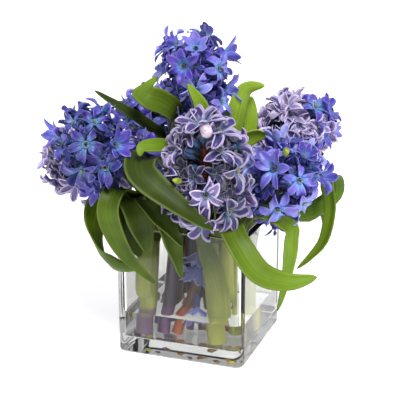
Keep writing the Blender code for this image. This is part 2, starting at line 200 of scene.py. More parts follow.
HEADS = {
    "front": ((23, -53, 148), (0.05, -0.27, 0.96)),
    "left_front": ((-54, -55, 158), (-0.42, -0.62, 0.66)),
    "top": ((-5, 3, 204), (-0.01, -0.10, 0.99)),
    "right_front": ((60, 2, 129), (0.60, -0.13, 0.79)),
    "right_back": ((49, 61, 148), (0.55, 0.28, 0.78)),
    "left_back": ((-90, 2, 132), (-0.94, -0.13, 0.30)),
    "back_left": ((-61, 70, 147), (-0.62, 0.25, 0.74)),
    "back_right": ((44, 119, 136), (0.38, 0.63, 0.67)),
}
STEMS = {
    "front": ((26, -28), (15, -24, 98), 7.5, 5.0, "pale_stem"),
    "left_front": ((-34, -28), (-31, -22, 96), 7.0, 5.0, "flushed_stem"),
    "top": ((-20, -20), (-14, -12, 100), 5.2, 5.0, "dark_stem"),
    "right_front": ((35, 2), (34, 5, 82), 6.5, 4.6, "pale_stem"),
    "right_back": ((-9, -18), (20, -2, 109), 4.2, 4.5, "red_stem"),
    "left_back": ((-24, 14), (-28, 10, 100), 5.5, 5.0, "dark_stem"),
    "back_left": ((8, 2), (-2, 12, 100), 5.0, 4.8, "green_stem"),
    "back_right": ((12, 28), (4, 30, 98), 6.0, 5.0, "green_stem"),
}
STEM_SLOTS = {"flushed_stem": "pale_stem"}
STEM_COLOURS = {
    "pale_stem": ((0.19, 0.22, 0.035, 1), (0.41, 0.43, 0.11, 1),
                  (0.05, 0.09, 0.005, 1), (0.5, 0.5, 0.08, 1)),
    "flushed_stem": ((0.21, 0.24, 0.035, 1), (0.44, 0.46, 0.12, 1),
                     (0.06, 0.1, 0.005, 1), (0.12, 0.02, 0.2, 1)),
    "green_stem": ((0.06, 0.11, 0.01, 1), (0.13, 0.19, 0.03, 1),
                   (0.03, 0.07, 0.01, 1), (0.16, 0.07, 0.04, 1)),
    "dark_stem": ((0.03, 0.022, 0.04, 1), (0.085, 0.065, 0.1, 1),
                  (0.02, 0.02, 0.02, 1), (0.15, 0.04, 0.17, 1)),
    "red_stem": ((0.06, 0.02, 0.01, 1), (0.2, 0.08, 0.04, 1),
                 (0.03, 0.01, 0.01, 1), (0.52, 0.09, 0.005, 1)),
}
GREENER_FROM = 68 * MM
GREENER_BY = 98 * MM
FLUSH_TOP = 25 * MM


def head_axis(name):
    centre, towards = HEADS[name]
    return Vector(centre), Vector(towards).normalized()


def hermite(start, start_pull, end, end_pull, t):
    return (
        start * (2 * t**3 - 3 * t**2 + 1)
        + start_pull * (t**3 - 2 * t**2 + t)
        + end * (3 * t**2 - 2 * t**3)
        + end_pull * (t**3 - t**2)
    )


def stem_path(name):
    """Points up a stem in millimetres: straight to the vase's mouth, then bending into its head's line."""
    foot_xy, mouth = STEMS[name][:2]
    centre, axis = head_axis(name)
    foot = Vector((*foot_xy, FEET_Z))
    mouth = Vector(mouth)
    top = centre - axis * (RACHIS_LENGTH / 2 + CORE_FOOT + GAP)
    neck = top - axis * NECK
    reach = (neck - mouth).length
    lower = [foot.lerp(mouth, i / STRAIGHT_STEPS) for i in range(STRAIGHT_STEPS)]
    rise = (mouth - foot).normalized() * reach
    upper = [hermite(mouth, rise, neck, axis * reach, i / BEND_STEPS) for i in range(BEND_STEPS + 1)]
    return lower + upper + [top + axis * GAP]


def round_stalk(name, path, radii, resolution):
    """A stalk swept along a path given in millimetres, as a closed mesh."""
    curve = bpy.data.curves.new(name, "CURVE")
    curve.dimensions = "3D"
    curve.bevel_depth = MM
    curve.bevel_resolution = resolution
    curve.use_fill_caps = True
    spline = curve.splines.new("POLY")
    spline.points.add(len(path) - 1)
    for point, place, radius in zip(spline.points, path, radii):
        point.co = (*place * MM, 1)
        point.radius = radius
    bpy.ops.object.select_all(action="DESELECT")
    stalk = bpy.data.objects.new(name, curve)
    bpy.context.scene.collection.objects.link(stalk)
    bpy.context.view_layer.objects.active = stalk
    stalk.select_set(True)
    bpy.ops.object.convert(target="MESH")
    stalk = bpy.context.object
    bpy.ops.object.mode_set(mode="EDIT")
    bpy.ops.mesh.select_all(action="SELECT")
    bpy.ops.mesh.remove_doubles(threshold=STALK_SEAM)
    bpy.ops.mesh.normals_make_consistent(inside=False)
    bpy.ops.object.mode_set(mode="OBJECT")
    bpy.ops.object.shade_smooth_by_angle(angle=STALK_SMOOTH_BELOW)
    return stalk


def new_material(name, roughness):
    made = bpy.data.materials.new(name)
    made.use_nodes = True
    made.node_tree.nodes["Principled BSDF"].inputs["Roughness"].default_value = roughness
    return made


def node(material, kind, settings=None, **inputs):
    """Adds a node, with settings as attributes and inputs as values or links, by name or by number."""
    made = material.node_tree.nodes.new(kind)
    for key, value in (settings or {}).items():
        setattr(made, key, value)
    for key, value in inputs.items():
        socket = made.inputs[int(key[1:])] if key[1:].isdigit() else made.inputs[key.replace("_", " ")]
        if isinstance(value, bpy.types.NodeSocket):
            material.node_tree.links.new(value, socket)
        else:
            socket.default_value = value
    return made


def calculate(material, operation, first, second=0.0):
    return node(material, "ShaderNodeMath", {"operation": operation}, _0=first, _1=second).outputs[0]


def ramp(material, factor, *stops):
    """A colour ramp through (place, colour) stops."""
    made = node(material, "ShaderNodeValToRGB", Fac=factor)
    elements = made.color_ramp.elements
    while len(elements) < len(stops):
        elements.new(0.5)
    for element, (place, colour) in zip(elements, stops):
        element.position = place
        element.color = colour
    return made.outputs["Color"]


def blend(material, factor, first, second, kind="MIX"):
    made = node(material, "ShaderNodeMix", {"data_type": "RGBA", "blend_type": kind},
                _0=factor, _6=first, _7=second)
    return made.outputs[2]


def wire(material, output, socket):
    material.node_tree.links.new(output, material.node_tree.nodes["Principled BSDF"].inputs[socket])


def object_place(material, scale=(1, 1, 1)):
    """The place on the piece, stretched by three factors."""
    place = node(material, "ShaderNodeTexCoord").outputs["Object"]
    return node(material, "ShaderNodeMapping", Vector=place, Scale=scale).outputs["Vector"]


def noise(material, place, scale, detail=2.0):
    return node(material, "ShaderNodeTexNoise", Vector=place, Scale=scale, Detail=detail).outputs["Fac"]


def bump(material, height, strength, distance):
    made = node(material, "ShaderNodeBump", Height=height, Strength=strength, Distance=distance)
    wire(material, made.outputs["Normal"], "Normal")


def between(material, value, start, end):
    """0 at the start, 1 at the end and a straight run between them."""
    return node(material, "ShaderNodeMapRange", Value=value, From_Min=start, From_Max=end).outputs[0]


def stem_material(name, shade, light, above, under_water):
    """Long soft streaks, a deeper colour towards the top, a flush under the water and a waxy skin."""
    made = new_material(name, STEM_ROUGHNESS)
    streaks = noise(made, object_place(made, STEM_STREAKS), 1.0, 3.0)
    colour = ramp(made, streaks, (0.3, shade), (0.7, light))
    height = node(made, "ShaderNodeSeparateXYZ", Vector=object_place(made)).outputs["Z"]
    higher = between(made, height, GREENER_FROM, GREENER_BY)
    colour = blend(made, calculate(made, "MULTIPLY", higher, 0.8), colour, above)
    wet = between(made, height, WATER_TOP, FLUSH_TOP)
    flushed = blend(made, calculate(made, "MULTIPLY", streaks, 0.6), under_water, shade)
    colour = blend(made, wet, colour, flushed)
    wire(made, colour, "Base Color")
    bump(made, streaks, 0.2, 0.15 * MM)
    return made


stem_skins = {name: stem_material(name, *colours) for name, colours in STEM_COLOURS.items()}


def pith_material(name, ring, heart):
    """The cut end: a mottled heart."""
    made = new_material(name + "_cut", 0.6)
    grain = noise(made, object_place(made), PITH_GRAIN)
    wire(made, ramp(made, grain, (0.42, ring), (0.58, heart)), "Base Color")
    return made


piths = {name: pith_material(name, *colours) for name, colours in PITHS.items()}


def cut_stalk(name, path, radii, skin):
    """A stalk in its skin, with the pith showing where it is cut across at the foot."""
    stalk = round_stalk(name, path, radii, STEM_ROUNDNESS)
    stalk.data.materials.append(stem_skins[skin])
    stalk.data.materials.append(piths[skin])
    for face in stalk.data.polygons:
        if face.normal.z < FACES_DOWN and face.center.z < FEET_Z * MM:
            face.material_index = 1
    return stalk


for name, (*_, foot_radius, top_radius, skin) in STEMS.items():
    path = stem_path(name)
    path[0] = path[0] - (path[1] - path[0]).normalized() * (FEET_Z - ON_GLASS)
    taper = (top_radius - foot_radius) / (len(path) - 1)
    stem = cut_stalk("stem_of_" + name, path, [foot_radius + taper * i for i in range(len(path))], skin)
    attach(stem, "root")
    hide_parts("stem_" + name)
    STEM_SLOTS.get(skin, skin)


# Stubs: the cut feet of stripped leaves, pale, green, red or nearly black, which stand among the stems on the
# floor of the vase. Each is a short leaning stalk that thins towards its top.
STUBS = {
    "far_left": ((-40, 3), 4.0, 27, "pale_stem", "left_back"),
    "left": ((-31, 1), 3.2, 22, "dark_stem", "left_back"),
    "middle": ((-13, 4), 3.8, 24, "red_stem", "back_left"),
    "inner": ((-3, -2), 3.2, 20, "dark_stem", "back_left"),
    "right": ((19, -1), 4.0, 26, "green_stem", "back_left"),
    "far_right": ((27, 7), 3.2, 22, "red_stem", "right_front"),
}
STUB_STEPS = 4
STUB_LEAN = (0.3, 0.2)
STUB_TAPER = (1, 1, 0.97, 0.9, 0.6)
for name, ((x, y), radius, height, skin, beside) in STUBS.items():
    rise = height - ON_GLASS
    steps = [Vector((x + i * STUB_LEAN[0], y + i * STUB_LEAN[1], ON_GLASS + rise * i / STUB_STEPS))
             for i in range(STUB_STEPS + 1)]
    stub = cut_stalk("stub_" + name, steps, [radius * part for part in STUB_TAPER], skin)
    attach(stub, "root")
    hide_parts("stem_" + beside)


# Leaves: long fleshy straps with parallel veins, channelled along the middle and hooded at the tip. Most
# spring from the stems at the vase's mouth, stand up or arch over and hang, and a few wrap the stems below.
LEAF_THICKNESS = 0.9 * MM
LEAF_ROWS = 40
LEAF_COLUMNS = 8
LEAF_WAVE = 0.045
LEAF_WAVES = (3, 5)
CHANNEL = 0.3
BLADE_FOOT = 0.8
FULL_FROM = 0.3
TAPERS_FROM = 0.6
BLUNT_TIP = 0.12
TIP_ROUNDING = 20
TIP_END = 0.2
LEAF_VEINS = (1.6, 34, 1)
LEAF_REFLECTION_BANDS = (0.9, 13, 1)
LEAF_SHADE_PATCHES = 45
BLACK = (0, 0, 0, 1)
WHITE = (1, 1, 1, 1)
# Each leaf: its stem, the height where it springs, its width, its spine, its rolls, and its green at foot and
# tip, partly its age and partly painted light and shade.
LEAVES = {
    "arch_front": (
        "front", 84, 22, [(4, -24, 116), (-13, -36, 146), (-18, -55, 158), (-19, -72, 161),
        (-14, -83, 154), (2, -86, 143), (21, -84, 130), (36, -74, 116)], (0, 0), (-0.15, 0.05)),
    "roll_front": (
        "front", 88, 12, [(6, -24, 128), (2, -42, 156), (-5, -56, 168), (-11, -67, 171), (-17, -75, 171),
        (-17, -78, 166)], (0, -35, -35), (0.5, 0.95)),
    "sweep_front": (
        "front", 80, 20, [(24, -36, 106), (38, -49, 114), (50, -65, 106), (68, -69, 86), (88, -58, 78),
        (105, -46, 80)], (0, 0), (-0.45, 1.2)),
    "sheath_front": (
        "front", 24, 15, [(30, -36, 34), (29, -37, 52), (25, -38, 72), (18, -40, 92), (10, -40, 112)],
        (0, 0), (1.25, -0.1)),
    "tip_top": (
        "front", 88, 13, [(12, -21, 122), (8, -18, 175), (10, -25, 187), (8, -30, 199), (2, -34, 211)],
        (0, 0), (0.3, 0.7)),
    "strap_left": (
        "left_front", 84, 16, [(-31, -36, 114), (-39, -61, 134), (-40, -76, 134), (-41, -81, 122),
        (-37, -77, 103), (-29, -71, 85), (-13, -62, 65)], (0, -25), (0.1, 0.25)),
    "twist_left": (
        "left_front", 82, 20, [(-38, -32, 112), (-57, -46, 121), (-64, -55, 115), (-63, -63, 100),
        (-55, -67, 84), (-41, -68, 77), (-24, -66, 77)],
        (0, -50, -70, -100, -140, -180, -195), (0.2, 0.6)),
    "hang_mid": (
        "left_front", 80, 13, [(-24, -38, 112), (-23, -59, 128), (-10, -67, 120), (0, -66, 110),
        (9, -63, 97)], (0, 0), (0.0, 0.1)),
    "hang_inner": (
        "left_front", 76, 14, [(-20, -38, 108), (-14, -56, 119), (-5, -60, 110), (-1, -59, 98),
        (2, -57, 85), (5, -56, 70)], (0, 0), (0.0, 0.2)),
    "drop_left": (
        "left_front", 86, 20, [(-33, -38, 114), (-32, -60, 128), (-26, -65, 119), (-22, -63, 103),
        (-20, -61, 89)], (0, 0), (0.0, 0.1)),
    # shade_left, shade_hang and shade_wrap are dark leaves set in behind the others as painted shade in the
    # gaps of the foliage.
    "shade_left": (
        "left_front", 84, 20, [(-36, -36, 112), (-36, -52, 120), (-33, -57, 110), (-31, -57, 96),
        (-28, -56, 82)], (0, 0), (-0.1, 0.1)),
    "sheath_left": (
        "left_front", 32, 13, [(-33, -37, 46), (-32, -38, 66), (-29, -39, 90), (-24, -40, 112)],
        (0, 0), (0.9, 0.35)),
    "hang_right": (
        "right_front", 72, 12, [(41, -8, 102), (53, -10, 112), (73, -6, 102), (74, -5, 91), (73, -5, 75),
        (71, -8, 56), (67, -12, 35)], (30, 60, 62), (0.4, 0.2)),
    "loop_right": (
        "right_front", 74, 13, [(39, 12, 109), (53, 18, 119), (74, 29, 102), (85, 39, 106), (95, 47, 115),
        (96, 41, 128), (94, 28, 129), (98, 23, 111), (95, 19, 87), (85, 16, 72), (75, 12, 62)],
        (-120, -120), (0.8, 0.6)),
    "under_right": (
        "right_front", 78, 12, [(35, 17, 116), (29, 17, 154), (34, 17, 162), (43, 16, 166),
        (52, 15, 165)], (0, 0), (1.2, 1.3)),
    "pale_sheath": (
        "right_front", 34, 17, [(29, -8, 44), (27, -8, 60), (26, -8, 78), (25, -8, 98)],
        (58, 58), (1.3, 1.1)),
    "shade_wrap": (
        "left_back", 26, 24, [(-13, 6, 34), (-9, 4, 52), (-7, 2, 76), (-8, 0, 112)], (0, 0), (0.0, 0.1)),
    "shade_hang": (
        "top", 84, 22, [(-16, -22, 112), (-12, -36, 120), (-8, -42, 112), (-6, -43, 96), (-5, -42, 84)],
        (0, 0), (0.0, 0.05)),
    "brown_wrap": (
        "top", 26, 9, [(-14, -9, 34), (-11, -9, 56), (-9, -9, 80), (-9, -9, 110)], (0, 0), (0.0, 0.5)),
    "foot_left": (
        "left_back", 40, 12, [(-25, 6, 34), (-27, 4, 26), (-28, 3, 19), (-27, 2, 12)],
        (0, 0), (0.9, 1.0)),
    "brown_foot": (
        "back_left", 62, 11, [(1, 0, 50), (-1, -3, 38), (-2, -5, 26), (-3, -6, 13)], (0, 0), (0.2, 1.0)),
    "dark_sheath": (
        "right_back", 38, 25, [(0, -6, 46), (3, -3, 62), (5, -2, 80), (6, -3, 98), (6, -4, 112)],
        (45, 45), (0.0, 0.3)),
    "spear_left": (
        "back_left", 84, 10, [(-13, 14, 116), (-27, 5, 140), (-26, -14, 165), (-34, -19, 173),
        (-46, -25, 183), (-59, -32, 193), (-70, -38, 202)], (-50, -60), (-0.35, 0.05)),
    "fold_top": (
        "back_left", 88, 18, [(-12, 12, 116), (-25, 6, 138), (-25, -8, 160), (-13, -23, 185),
        (-19, -32, 195), (-26, -41, 200), (-32, -37, 203), (-31, -27, 206), (-27, -20, 212)],
        (-60, -95, -95, -95, -90, -80), (-0.55, 0.95)),
    "back_fall": (
        "back_left", 80, 17, [(-12, 34, 114), (-24, 56, 124), (-36, 78, 108), (-42, 88, 78)],
        (0, 0), (0.4, 0.4)),
    "left_fall": (
        "back_left", 76, 16, [(-26, 26, 110), (-48, 36, 116), (-66, 42, 100), (-74, 46, 70)],
        (0, 0), (0.35, 0.35)),
    "fold_right": (
        "back_right", 86, 17, [(12, 24, 122), (20, 14, 152), (26, 12, 182), (31, 16, 199), (43, 24, 202)],
        (0, 0), (0.2, 0.95)),
    "blade_right": (
        "back_right", 84, 14, [(17, 28, 122), (26, 27, 150), (31, 28, 174), (31, 29, 192)],
        (0, -45, -60), (0.5, 1.1)),
    "back_arch": (
        "back_right", 80, 18, [(6, 48, 112), (4, 68, 118), (2, 88, 100), (0, 96, 68)],
        (0, 0), (0.3, 0.3)),
    "right_fall": (
        "back_right", 76, 16, [(24, 39, 107), (50, 50, 111), (80, 61, 93), (83, 61, 63)],
        (0, 0), (0.45, 0.45)),
}


def along(points, t):
    """The point at t, from 0 to 1, on a smooth curve through these points."""
    count = len(points) - 1
    span = min(int(t * count), count - 1)
    pulls = [(points[min(i + 1, count)] - points[max(i - 1, 0)]) / 2 for i in (span, span + 1)]
    return hermite(points[span], pulls[0], points[span + 1], pulls[1], t * count - span)


def blade_half_width(stem_radius, width, t):
    """Half a leaf's width along its length: as its stem at the foot, then full, then tapering to the tip."""
    full = width / 2
    if t < FULL_FROM:
        foot = stem_radius * BLADE_FOOT
        return foot + (full - foot) * math.sin(t / FULL_FROM * math.pi / 2)
    if t < TAPERS_FROM:
        return full
    fall = math.cos((t - TAPERS_FROM) / (1 - TAPERS_FROM) * math.pi / 2)
    return full * (BLUNT_TIP * min(1, (1 - t) * TIP_ROUNDING + TIP_END) + (1 - BLUNT_TIP) * fall)


def leaf_rows(stem_name, springs, spine, rolls):
    """The place, the direction across and the upper face's direction at each row of a leaf."""
    start = min(stem_path(stem_name), key=lambda p: abs(p.z - springs))
    spine = [start] + [Vector(p) for p in spine]
    places = [along(spine, i / LEAF_ROWS) for i in range(LEAF_ROWS + 1)]
    side = (places[LEAF_ROWS // 2] - places[0]).cross(UP).normalized()
    rows = []
    for i, place in enumerate(places):
        ahead = (places[min(i + 1, LEAF_ROWS)] - places[max(i - 1, 0)]).normalized()
        side = (side - ahead * side.dot(ahead)).normalized()
        roll = along([Vector((r, 0, 0)) for r in rolls], i / LEAF_ROWS).x
        turned = Matrix.Rotation(math.radians(roll), 3, ahead) @ side
        rows.append((place, turned, turned.cross(ahead)))
    return rows


def grid(name, along_count, across_count):
    """A flat strip: its U runs along it and its V across it."""
    bpy.ops.object.select_all(action="DESELECT")
    bpy.ops.mesh.primitive_grid_add(x_subdivisions=along_count, y_subdivisions=across_count, size=1)
    made = bpy.context.object
    made.name = name
    return made


def thicken(thing, thickness, offset):
    """Gives a sheet its thickness, with the second material on its underside and edge."""
    step = thing.modifiers.new("Thickness", "SOLIDIFY")
    step.thickness = thickness
    step.offset = offset
    step.material_offset = 1
    apply_all(thing)
    bpy.ops.object.shade_smooth()


def leaf_material(name, dark, bright, margin, roughness, veins, relief=0.35):
    """Parallel veins along the blade, a paler foot and margin, and a green from dark to bright that is partly
    the leaf's age and partly painted light and shade.
    """
    made = new_material(name, roughness)
    surface = made.node_tree.nodes["Principled BSDF"]
    surface.inputs["Specular IOR Level"].default_value = 0.2
    place = node(made, "ShaderNodeUVMap").outputs["UV"]
    parts = node(made, "ShaderNodeSeparateXYZ", Vector=place)
    youth_and_shade = node(made, "ShaderNodeAttribute", {"attribute_name": "youth_and_shade"}).outputs["Fac"]
    stretched = node(made, "ShaderNodeMapping", Vector=place, Scale=LEAF_VEINS).outputs["Vector"]
    fine = noise(made, stretched, 1.0, 4.0)
    # Broad lighter and darker stripes along the blade: painted reflection lines.
    wide = node(made, "ShaderNodeMapping", Vector=place, Scale=LEAF_REFLECTION_BANDS).outputs["Vector"]
    reflection_bands = ramp(made, noise(made, wide, 1.0, 5.0), (0.38, (0.84, 0.85, 0.8, 1)),
                 (0.62, (1.07, 1.06, 1.05, 1)))
    # Broad patches of painted light and shade, which shift each leaf's green lighter and darker.
    broad = noise(made, object_place(made), LEAF_SHADE_PATCHES)
    broad = calculate(made, "MULTIPLY", calculate(made, "SUBTRACT", broad, 0.5), 0.7)
    youth_and_shade = calculate(made, "ADD", youth_and_shade, broad)
    # The green runs from dark to bright with the leaf's age and with painted light and shade.
    colour = blend(made, youth_and_shade, dark, bright)
    lines = ramp(made, fine, (0.38, (veins, veins, veins, 1)), (0.6, WHITE))
    colour = blend(made, 1.0, blend(made, 1.0, colour, lines, "MULTIPLY"), reflection_bands, "MULTIPLY")
    middle = calculate(made, "ABSOLUTE", calculate(made, "SUBTRACT", parts.outputs["Y"], 0.5))
    edge = ramp(made, middle, (0.42, BLACK), (0.5, WHITE))
    colour = blend(made, calculate(made, "MULTIPLY", edge, 0.5), colour, margin)
    foot = ramp(made, parts.outputs["X"], (0.0, WHITE), (0.3, BLACK))
    colour = blend(made, calculate(made, "MULTIPLY", foot, 0.5), colour, margin)
    wire(made, colour, "Base Color")
    bump(made, fine, relief, 0.25 * MM)
    return made


leaf_skins = {
    "upper": leaf_material(
        "leaf_upper", (0.024, 0.042, 0.002, 1), (0.12, 0.23, 0.006, 1), (0.16, 0.21, 0.03, 1), 0.40, 0.62),
    "under": leaf_material(
        "leaf_under", (0.036, 0.062, 0.003, 1), (0.19, 0.32, 0.015, 1), (0.20, 0.27, 0.05, 1), 0.48, 0.72),
    # The young skin is a brighter yellow green, partly the leaves' own colour and partly painted light on
    # leaves on the lamp's side.
    "young": leaf_material(
        "young_and_lit_leaf", (0.10, 0.19, 0.006, 1), (0.34, 0.52, 0.04, 1), (0.40, 0.50, 0.12, 1), 0.42, 0.75),
    # The dark skin is nearly black: painted shade on shade_wrap, and on dark_sheath partly its own dark
    # colour and partly painted shade.
    "dark": leaf_material(
        "dark_leaf_and_shade", (0.010, 0.009, 0.018, 1), (0.05, 0.04, 0.06, 1), (0.05, 0.03, 0.04, 1), 0.6, 0.6, 0.05),
    "pale": leaf_material(
        "pale_sheath_skin", (0.05, 0.10, 0.012, 1), (0.47, 0.51, 0.13, 1), (0.40, 0.46, 0.13, 1),
        0.42, 0.85, 0.05),
    "brown": leaf_material(
        "brown_leaf", (0.05, 0.02, 0.012, 1), (0.22, 0.07, 0.02, 1), (0.20, 0.10, 0.02, 1), 0.5, 0.6),
}
LEAF_SKINS = {
    "dark_sheath": ("dark", "dark"), "shade_wrap": ("dark", "dark"), "brown_wrap": ("brown", "brown"),
    "brown_foot": ("brown", "brown"), "foot_left": ("brown", "brown"), "sheath_front": ("pale", "pale"),
    "sheath_left": ("pale", "pale"), "fold_right": ("young", "young"), "blade_right": ("young", "young"),
    "under_right": ("young", "young"), "pale_sheath": ("pale", "pale"), "hang_right": ("upper", "young"),
    "tip_top": ("upper", "young"),
}
LEAF_SLOTS = {"dark": "dark_stem", "brown": "red_stem", "pale": "pale_stem"}
for name, (stem_name, springs, width, spine, rolls, youth_and_shade_ends) in LEAVES.items():
    rows = leaf_rows(stem_name, springs, spine, rolls)
    draw = random.Random(name)
    waves, phase = draw.uniform(*LEAF_WAVES), draw.uniform(0, 6)
    leaf = grid("leaf_" + name, LEAF_ROWS, LEAF_COLUMNS)
    youth_and_shade_values = []
    for vertex in leaf.data.vertices:
        t, across = vertex.co.x + 0.5, vertex.co.y * 2
        youth_and_shade_values.append(youth_and_shade_ends[0] + (youth_and_shade_ends[1] - youth_and_shade_ends[0]) * t)
        place, side, face = rows[round(t * LEAF_ROWS)]
        half = blade_half_width(STEMS[stem_name][2], width, t)
        channel = CHANNEL * half * abs(across) ** 1.5
        wave = LEAF_WAVE * half * across**3 * math.sin(t * waves * math.tau + phase)
        vertex.co = (place + side * half * across + face * (channel + wave)) * MM
    youth_and_shade_layer = leaf.data.attributes.new("youth_and_shade", "FLOAT", "POINT")
    for vertex, value in zip(leaf.data.vertices, youth_and_shade_layer.data):
        value.value = youth_and_shade_values[vertex.index]
    upper, under = LEAF_SKINS.get(name, ("upper", "under"))
    leaf.data.materials.append(leaf_skins[upper])
    leaf.data.materials.append(leaf_skins[under])
    thicken(leaf, LEAF_THICKNESS, 0)
    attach(leaf, "root")
    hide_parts("stem_" + stem_name)
    LEAF_SLOTS.get(upper, "green_stem")


# Florets: each is a waxy bell on a short stalk, split into six lobes that open into a star and curl back,
# with six anthers in its throat. Each colour has kinds that range from half open to fully curled.
FLORET_RISE = 27
LOBE_LENGTH = 16.5
TIP_DROP = 1.5
LOBE_ROWS = 8
LOBE_COLUMNS = 4
LOBE_SPAN = 15.6
LOBE_THICKNESS = 0.45 * MM
MOUTH_RADIUS = 2.4
MOUTH_HEIGHT = -3.2
BELL = [(0.9, -27.5), (0.8, -18), (1.7, -17), (2.9, -14), (2.9, -11), (2.2, -7), (2.5, -4), (3.0, -1.8)]
THROAT = [(2.4, -2.1), (1.8, -5.0), (1.2, -8.0)]
BELL_SIDES = 9
ANTHER_PLACE = (1.5, 0, -1.2)
ANTHER_RADIUS = 0.6 * MM
ANTHER_SHAPE = (0.8, 0.8, 2.2)
ANTHER_LEAN = 0.3
LOBE_WIDTHS = {"violet": (3.9, 3.2), "lilac": (3.9, 3.4)}
LOBE_CUPS = {"violet": 0.36, "lilac": 0.85}
LOBE_WAVE = 0.16
LOBE_TURNS = {
    "half_open": (22, 70, 20), "open": (38, 120, 32), "curled": (44, 170, 34), "loose": (34, 138, 44),
    "ragged": (38, 150, 56), "late": (26, 96, 40), "rolled": (52, 210, 36), "nodding": (30, 125, 50),
    "tangled": (44, 185, 60),
}


def lobe_outline(t):
    """A lobe's half width: narrow at the mouth, widest in the middle, pointed at the tip."""
    if t < 0.5:
        return 0.45 + 0.55 * math.sin(t * math.pi) ** 1.5
    return max(0.08, (1 - ((t - 0.5) / 0.5) ** 2.1) ** 0.8)


def make_lobe(half_width, length, turns, twist, bend, cup, surfaces):
    """One lobe: it rises from the bell's mouth towards +X, curls back, and bends and twists on its way."""
    lobe = grid("lobe", LOBE_ROWS, LOBE_COLUMNS)
    radius, height = MOUTH_RADIUS, MOUTH_HEIGHT
    line = []
    for i in range(LOBE_ROWS + 1):
        t = i / LOBE_ROWS
        turn = math.radians(turns[0] + (turns[1] - turns[0]) * t**1.2)
        line.append((radius, height, turn))
        radius += math.sin(turn) * length / LOBE_ROWS
        height += math.cos(turn) * length / LOBE_ROWS
    for vertex in lobe.data.vertices:
        t, across = vertex.co.x + 0.5, vertex.co.y * 2
        radius, height, turn = line[round(t * LOBE_ROWS)]
        half = half_width * lobe_outline(t)
        rise = cup * half * (across**2 - 0.3) + LOBE_WAVE * half * across * math.sin(9 * t + twist * 5)
        rolled = twist * t * t
        side = half * across * math.cos(rolled) - rise * math.sin(rolled) + bend * t * t
        rise = rise * math.cos(rolled) + half * across * math.sin(rolled)
        vertex.co = Vector((radius - math.cos(turn) * rise, side, height + math.sin(turn) * rise)) * MM
    for surface in surfaces:
        lobe.data.materials.append(surface)
    thicken(lobe, LOBE_THICKNESS, -1)
    return lobe


def turned_shell(name, profile, sides):
    """A shell turned round +Z: a ring drawn out and resized step by step along its profile."""
    bpy.ops.object.select_all(action="DESELECT")
    radius, height = profile[0]
    bpy.ops.mesh.primitive_circle_add(vertices=sides, radius=radius * MM, fill_type="NGON",
                                      location=(0, 0, height * MM))
    bpy.ops.object.transform_apply(location=True, rotation=False, scale=False)
    shell = bpy.context.object
    shell.name = name
    bpy.ops.object.mode_set(mode="EDIT")
    for (r0, z0), (r1, z1) in zip(profile, profile[1:]):
        bpy.ops.mesh.extrude_region_move(TRANSFORM_OT_translate={"value": (0, 0, (z1 - z0) * MM)})
        bpy.ops.transform.resize(value=(r1 / r0, r1 / r0, 1), center_override=(0, 0, z1 * MM))
    bpy.ops.mesh.select_all(action="SELECT")
    bpy.ops.mesh.normals_make_consistent(inside=False)
    bpy.ops.object.mode_set(mode="OBJECT")
    bpy.ops.object.shade_smooth()
    return shell


def join(things, name):
    """Joins these objects into the first."""
    bpy.ops.object.select_all(action="DESELECT")
    for thing in things:
        thing.select_set(True)
    bpy.context.view_layer.objects.active = things[0]
    bpy.ops.object.join()
    things[0].name = name
    return things[0]


def make_anther(turn, surface):
    """One anther, inside the bell's mouth."""
    place = Matrix.Rotation(turn, 3, "Z") @ Vector(ANTHER_PLACE) * MM
    bpy.ops.object.select_all(action="DESELECT")
    bpy.ops.mesh.primitive_uv_sphere_add(segments=5, ring_count=4, radius=ANTHER_RADIUS, location=place,
                                         rotation=(0, ANTHER_LEAN, turn), scale=ANTHER_SHAPE)
    bpy.ops.object.transform_apply()
    bpy.ops.object.shade_smooth()
    bpy.context.object.data.materials.append(surface)
    return bpy.context.object


def make_floret(colour, kind, surfaces):
    """A floret that opens along +Z, with the middle of its mouth at the origin."""
    lobe_top, lobe_back, bell_skin, anther_skin = surfaces
    pieces = []
    draw = random.Random(colour + kind)
    start, end, sway = LOBE_TURNS[kind]
    for i in range(6):
        half_width = LOBE_WIDTHS[colour][i % 2] * draw.uniform(0.85, 1.12)
        turns = (start + draw.uniform(-sway, sway) / 2 + 8 * (i % 2), end + draw.uniform(-sway, sway) * 1.3)
        twist = math.radians(draw.uniform(-sway, sway) * 2.4)
        cup = LOBE_CUPS[colour] * draw.uniform(0.5, 1.4)
        bend = draw.uniform(-sway, sway) / 12
        lobe = make_lobe(half_width, LOBE_SPAN * draw.uniform(0.84, 1.1), turns, twist, bend, cup,
                         (lobe_top, lobe_back))
        around = 60 * i + draw.uniform(-sway, sway) / 3
        lobe.data.transform(Matrix.Rotation(math.radians(around), 4, "Z"))
        pieces.append(lobe)
    bell = turned_shell("bell", BELL + THROAT, BELL_SIDES)
    bell.data.materials.append(bell_skin)
    pieces.append(bell)
    pieces += [make_anther(math.radians(60 * i + 30), anther_skin) for i in range(6)]
    floret = join(pieces, kind)
    floret.hide_render = True
    return floret


MARGIN_FADE = 0.06
TIP_FROM = 0.62
TIP_WEIGHT = 1.25
LOBE_VEINS = (2, 22, 1)
LOBE_PATCHES = 90


